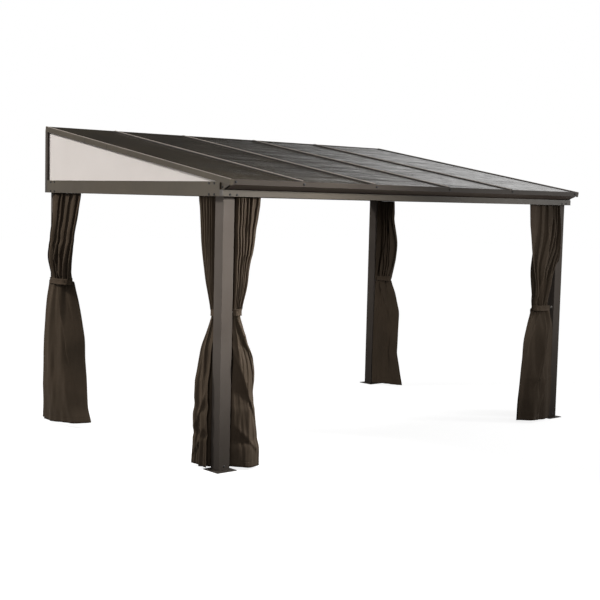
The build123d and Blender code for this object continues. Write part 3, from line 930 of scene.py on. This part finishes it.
# Pan head with a washer rim and a socket sunk in its crown
SCREW = [(0.0095, 0.0), (0.0095, 0.0010), (0.0075, 0.0013), (0.0072, 0.0032), (0.0058, 0.0044)]
SCREW += [(0.0032, 0.0048), (0.0032, 0.0024)]
KNOB = [(0.005, 0.0), (0.005, 0.006), (0.010, 0.008), (0.011, 0.011), (0.009, 0.014), (0.004, 0.0155)]
GLIDER = [(0.0030, 0.0), (0.0034, 0.003), (0.0026, 0.005), (0.0020, 0.009)]
GLIDER += [(0.0034, 0.0105), (0.0034, 0.013)]
TURNED_SIDES = 20
OUT_FRONT = (0, -1, 0)
OUT_BACK = (0, 1, 0)
# Screws: steps in from a beam's ends, heights over its lower edge, the step in from the fascia's ends
# and the height over a post's foot
SCREW_STEPS = (0.065, 0.130)
FRONT_SCREW_HEIGHT = 0.013
SIDE_SCREW_HEIGHTS = (0.013, 0.094)
FASCIA_END_STEP = 0.022
FOOT_SCREW_HEIGHT = 0.030
# Eave ends: a plate closes the gap between the front beam, the side beam and the rake trim at each end.
# Its outline and bolt are given from the top of the front beam, at that beam's front and back faces.
END_THICKNESS = 0.003
END_INSET = 0.012
END_GAP = 0.0006
END_BEVEL = 0.0006
END_FRONT = [(0.002, END_GAP), (-0.008, 0.012), (-0.064, 0.034)]
END_BACK = [(-END_GAP, 0.052), (-END_GAP, END_GAP)]
END_BOLT = (0.017, 0.020)


def turned_group(name, profile, places, material):
    """One piece made of the same turned shape at many places, each (point, axis)."""
    angles = [2 * pi * i / TURNED_SIDES for i in range(TURNED_SIDES)]
    bm = bmesh.new()
    for place, axis in places:
        turn = Vector((0, 0, 1)).rotation_difference(Vector(axis)).to_matrix()
        rings = []
        for radius, height in profile:
            ring = [Vector((radius * cos(a), radius * sin(a), height)) for a in angles]
            rings.append([bm.verts.new(turn @ point + Vector(place)) for point in ring])
        join_rings(bm, rings)
    mesh = closed_mesh(name, bm)
    for polygon in mesh.polygons:
        polygon.use_smooth = len(polygon.vertices) == 4
    return add_piece(name, mesh, material)


def end_face(way):
    """The outer face of the eave end on the left (-1) or on the right (1)."""
    return way * (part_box("side_beam_right")[1][0] - END_INSET)


def eave_ends():
    low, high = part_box("front_beam")
    outline = [(low[1] + y, high[2] + z) for y, z in END_FRONT]
    outline += [(high[1] + y, high[2] + z) for y, z in END_BACK]
    bm = bmesh.new()
    for way in (-1, 1):
        sides = []
        for x in (end_face(way), end_face(way) - way * END_THICKNESS):
            sides.append([bm.verts.new((x, y, z)) for y, z in outline])
        for i in range(len(outline)):
            j = (i + 1) % len(outline)
            bm.faces.new((sides[0][i], sides[0][j], sides[1][j], sides[1][i]))
        bm.faces.new(sides[0])
        bm.faces.new(list(reversed(sides[1])))
    bmesh.ops.bevel(bm, geom=list(bm.edges), offset=END_BEVEL, segments=2, affect="EDGES")
    add_piece("eave_ends", closed_mesh("eave_ends", bm), frame_paint)


def screw_places():
    """Every screw that shows on the frame, as a point and the way out of its face."""
    for side, way, face in SIDES:
        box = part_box(f"side_beam_{side}")
        low, high = box
        for end, inward in ((low[1], 1), (high[1], -1)):
            for step in SCREW_STEPS:
                for height in SIDE_SCREW_HEIGHTS:
                    yield (box[face][0], end + inward * step, low[2] + height), (way, 0, 0)
    beam_low, beam_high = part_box("front_beam")
    for end, inward in ((beam_low[0], 1), (beam_high[0], -1)):
        for step in SCREW_STEPS:
            yield (end + inward * step, beam_low[1], beam_low[2] + FRONT_SCREW_HEIGHT), OUT_FRONT
    low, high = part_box("eave_trim")
    fascia = (low[1], (low[2] + high[2]) / 2)
    for number in range(1, 5):
        yield (box_middle(f"rafter_{number}").x, *fascia), OUT_FRONT
    for x in (low[0] + FASCIA_END_STEP, high[0] - FASCIA_END_STEP):
        yield (x, *fascia), OUT_FRONT
    for way in (-1, 1):
        yield (end_face(way), beam_low[1] + END_BOLT[0], beam_high[2] + END_BOLT[1]), (way, 0, 0)
    for corner in ("front_left", "front_right", "back_left", "back_right"):
        low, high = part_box(f"post_{corner}")
        middle = box_middle(f"post_{corner}").x
        for y, axis in ((low[1], OUT_FRONT), (high[1], OUT_BACK)):
            yield (middle, y, low[2] + FOOT_SCREW_HEIGHT), axis


eave_ends()
turned_group("frame_screws", SCREW, screw_places(), dark_screws)


# Roof lines: strips that follow the slope. A profile's rows are a place across the roof and a height
# over the panels.

CAP_HALF = 0.018
CAP_HEIGHT = 0.007
FLANGE_REACH = 0.022
# Beads on the caps and on the rake trims: half their width and their height
CAP_BEAD = (0.0065, 0.0035)
RAKE_BEAD = (0.004, 0.004)
RAKE_BEAD_INSET = 0.005
TRIM_HEIGHT = 0.003
BEAD_STEPS = 10
# Gaskets: width and height
GASKET = (0.007, 0.0055)
GASKET_STEPS = 5
RAKE_FLANGE = 0.030
# Joints in the rake trims: shares of the slope, half their width, their depth and how far they stand out
RAKE_JOINT_SHARES = (0.62, 0.75)
JOINT_HALF = 0.002
JOINT_DROP = 0.040
JOINT_OUT = 0.0008
# How upright a face is that counts as a top, and how close a corner is that lies in it
TOP_UPRIGHT = 0.9
TOP_CLOSE = 1e-4


def roof_plane():
    """The lowest point of the panels' top face, the way up the slope, the way out and the slope's length."""
    mesh = nodes["roof_panel_3"].data
    top = max((p for p in mesh.polygons if p.normal.z > TOP_UPRIGHT), key=lambda p: p.area)
    out = top.normal.copy()
    up = Vector((0.0, out.z, -out.y))
    level = mesh.vertices[top.vertices[0]].co.dot(out)
    along = [v.co.dot(up) for v in mesh.vertices if abs(v.co.dot(out) - level) < TOP_CLOSE]
    return up * min(along) + out * level, up, out, max(along) - min(along)


def roof_strips(name, strips, material):
    """One piece made of strips up the slope, each a profile and where it starts and ends."""
    bm = bmesh.new()
    for profile, start, end in strips:
        rings = []
        for along in (start, end):
            middle = roof_start + roof_up * along
            points = [middle + Vector((x, 0, 0)) + roof_out * over for x, over in profile]
            rings.append([bm.verts.new(point) for point in points])
        join_rings(bm, rings)
    return add_piece(name, closed_mesh(name, bm), material)


def bead(middle, foot, half_width, height):
    """A rounded strip's profile, standing on a given height over the panels."""
    angles = [pi * i / BEAD_STEPS for i in range(BEAD_STEPS + 1)]
    return [(middle + half_width * cos(a), foot + height * sin(a)) for a in angles]


def lip(edge, way, width, height):
    """A gasket's profile: a quarter round that leans against an edge."""
    angles = [pi / 2 * i / GASKET_STEPS for i in range(GASKET_STEPS + 1)]
    return [(edge, 0.0)] + [(edge + way * width * cos(a), height * sin(a)) for a in angles]


roof_start, roof_up, roof_out, roof_length = roof_plane()
cap_run = (FLANGE_REACH, roof_length - FLANGE_REACH)
beads, gaskets = [], []
for number in range(1, 5):
    seam = (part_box(f"roof_panel_{number}")[1][0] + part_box(f"roof_panel_{number + 1}")[0][0]) / 2
    beads.append((bead(seam, CAP_HEIGHT, *CAP_BEAD), *cap_run))
    for way in (-1, 1):
        gaskets.append((lip(seam + way * CAP_HALF, way, *GASKET), *cap_run))
for side, way, face in SIDES:
    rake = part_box(f"rake_trim_{side}")[face][0]
    beads.append((bead(rake - way * RAKE_BEAD_INSET, TRIM_HEIGHT, *RAKE_BEAD), 0.0, roof_length))
    gaskets.append((lip(rake - way * RAKE_FLANGE, -way, *GASKET), *cap_run))
    proud = rake + way * JOINT_OUT
    joint = [(rake, -JOINT_DROP), (proud, -JOINT_DROP), (proud, 0.0), (rake, 0.0)]
    for share in RAKE_JOINT_SHARES:
        middle = share * roof_length
        gaskets.append((joint, middle - JOINT_HALF, middle + JOINT_HALF))
roof_strips("roof_beads", beads, bead_metal)
roof_strips("roof_gaskets", gaskets, gasket_rubber)

turned_group("tie_knobs", KNOB, knobs, glider_plastic)
turned_group("rail_gliders", GLIDER, gliders, glider_plastic)


# Floor, light and camera


def studio_floor():
    """A pale floor that keeps a light shadow, and throws little light up onto the part."""
    n = material_nodes("studio_floor")
    n.set(Base_Color=FLOOR_COLOUR, Roughness=FLOOR_ROUGHNESS, Specular_IOR_Level=0.0)
    n.set(Emission_Color=WHITE, Emission_Strength=FLOOR_GLOW)
    bounce = n.add("ShaderNodeBsdfDiffuse", {"Color": BOUNCE_COLOUR}).outputs["BSDF"]
    rays = n.add("ShaderNodeLightPath").outputs
    seen = n.math("MAXIMUM", rays["Is Camera Ray"], rays["Is Glossy Ray"])
    seen = n.math("MAXIMUM", seen, rays["Is Transmission Ray"])
    mix = n.add("ShaderNodeMixShader", {"Fac": seen, 1: bounce, 2: n.shader.outputs["BSDF"]})
    n.put(n.tree.nodes["Material Output"].inputs["Surface"], mix.outputs["Shader"])
    mesh = bpy.data.meshes.new("studio_floor")
    half = FLOOR_SIZE / 2
    corners = [(-half, -half, 0), (half, -half, 0), (half, half, 0), (-half, half, 0)]
    mesh.from_pydata(corners, [], [(0, 1, 2, 3)])
    mesh.materials.append(n.owner)
    floor = bpy.data.objects.new("studio_floor", mesh)
    floor.location.z = -FLOOR_DROP
    bpy.context.scene.collection.objects.link(floor)


def studio_world():
    """White to the camera, brighter overhead, with a dark flag high at the back for the roof's gloss."""
    world = bpy.data.worlds.new("studio")
    n = Nodes(world)

    def fade_in(value, limits, low=0.0, high=1.0):
        return n.span(value, low, high, limits, "SMOOTHSTEP")

    def fade_out(value, limits):
        return fade_in(value, limits, 1.0, 0.0)

    def degrees(limits):
        return [radians(limit) for limit in limits]

    axes = n.axes("Generated")
    rise = axes["Z"]
    bearing = n.math("ARCTAN2", axes["X"], axes["Y"])
    sky = fade_in(rise, SKY_RISES, HORIZON_LEVEL, ZENITH_LEVEL)
    slant = n.math("MULTIPLY", n.math("SUBTRACT", rise, FLAG_SLANT_RISE), FLAG_SLANT)
    sides = fade_out(n.math("SUBTRACT", bearing, slant), degrees(FLAG_SLANTED))
    sides = n.math("MULTIPLY", sides, fade_in(bearing, degrees(FLAG_LEFT)))
    sides = n.math("MULTIPLY", sides, fade_out(bearing, degrees(FLAG_RIGHT)))
    band = n.math("MULTIPLY", fade_out(rise, FLAG_TOP), fade_in(rise, FLAG_FOOT))
    flag = n.math("MULTIPLY", band, sides)
    flagged = n.math("SUBTRACT", 1.0, n.math("MULTIPLY", flag, FLAG_STRENGTH))

    # Full white where the sky is seen, flagged where it is mirrored, and its own light elsewhere
    rays = n.add("ShaderNodeLightPath").outputs
    seen = n.math("MAXIMUM", rays["Is Camera Ray"], rays["Is Transmission Ray"])
    glossy = rays["Is Glossy Ray"]
    unseen = n.math("SUBTRACT", 1.0, seen)
    neither = n.math("SUBTRACT", 1.0, n.math("MAXIMUM", seen, glossy))
    mirrored = n.math("MULTIPLY", glossy, n.math("MULTIPLY", flagged, unseen))
    lit = n.math("MULTIPLY", sky, neither)
    level = n.math("ADD", seen, n.math("ADD", mirrored, lit))
    background = n.tree.nodes["Background"].inputs
    n.put(background["Color"], WHITE)
    n.put(background["Strength"], level)
    bpy.context.scene.world = world


def studio_lamps():
    for name, (power, size, place, aim, spread) in LAMPS.items():
        light = bpy.data.lights.new(name, "AREA")
        light.energy = power
        light.size = size
        light.spread = radians(spread)
        lamp = bpy.data.objects.new(name, light)
        lamp.location = place
        lamp.visible_camera = False
        lamp.visible_glossy = name != UNMIRRORED_LAMP
        lamp.rotation_euler = (Vector(place) - Vector(aim)).to_track_quat("Z", "Y").to_euler()
        bpy.context.scene.collection.objects.link(lamp)


def studio_camera():
    yaw, pitch, roll = (radians(a) for a in (CAMERA_YAW, CAMERA_PITCH, CAMERA_ROLL))
    forward = Vector((sin(yaw) * cos(pitch), cos(yaw) * cos(pitch), sin(pitch)))
    right = Vector((cos(yaw), -sin(yaw), 0.0))
    up = right.cross(forward)
    rolled_right = right * cos(roll) + up * sin(roll)
    rolled_up = up * cos(roll) - right * sin(roll)
    data = bpy.data.cameras.new("camera")
    data.sensor_width = SENSOR
    data.lens = CAMERA_LENS
    camera = bpy.data.objects.new("camera", data)
    turn = Matrix((rolled_right, rolled_up, -forward)).transposed().to_4x4()
    camera.matrix_world = Matrix.Translation(CAMERA_PLACE) @ turn
    bpy.context.scene.collection.objects.link(camera)
    bpy.context.scene.camera = camera


studio_floor()
studio_world()
studio_lamps()
studio_camera()
bpy.context.scene.view_settings.view_transform = "Standard"
